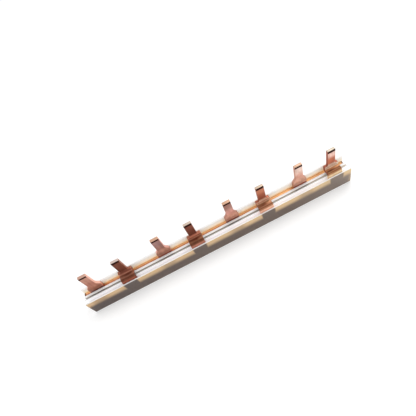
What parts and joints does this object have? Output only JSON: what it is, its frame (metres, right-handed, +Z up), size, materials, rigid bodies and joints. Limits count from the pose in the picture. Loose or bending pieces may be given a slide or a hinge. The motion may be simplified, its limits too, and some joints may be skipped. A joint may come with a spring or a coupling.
{
  "type": "comb busbar",
  "caption": "Straight two-pole comb busbar: copper pins stand in a row along a white insulating profile, the front pole's tabs joggled back into line.",
  "frame": {"origin": "middle of the flat underside of the insulating profile", "axes": "+Z up along the pins, +X along the bar from the first rear pin to the last front pin, -Y out of the front wall behind which the joggled comb stands"},
  "size_m": [0.1372, 0.0074, 0.0219],
  "materials": {
    "insulation": "white extruded plastic with a soft sheen, thin enough at the front for the copper to darken it",
    "rear_copper": "bare rolled copper, satin",
    "front_copper": "bare rolled copper, a little darker"
  },
  "bodies": {
    "root": {"insulating_profile": "insulation", "rear_comb": "rear_copper", "front_comb": "front_copper"}
  },
  "joints": []
}
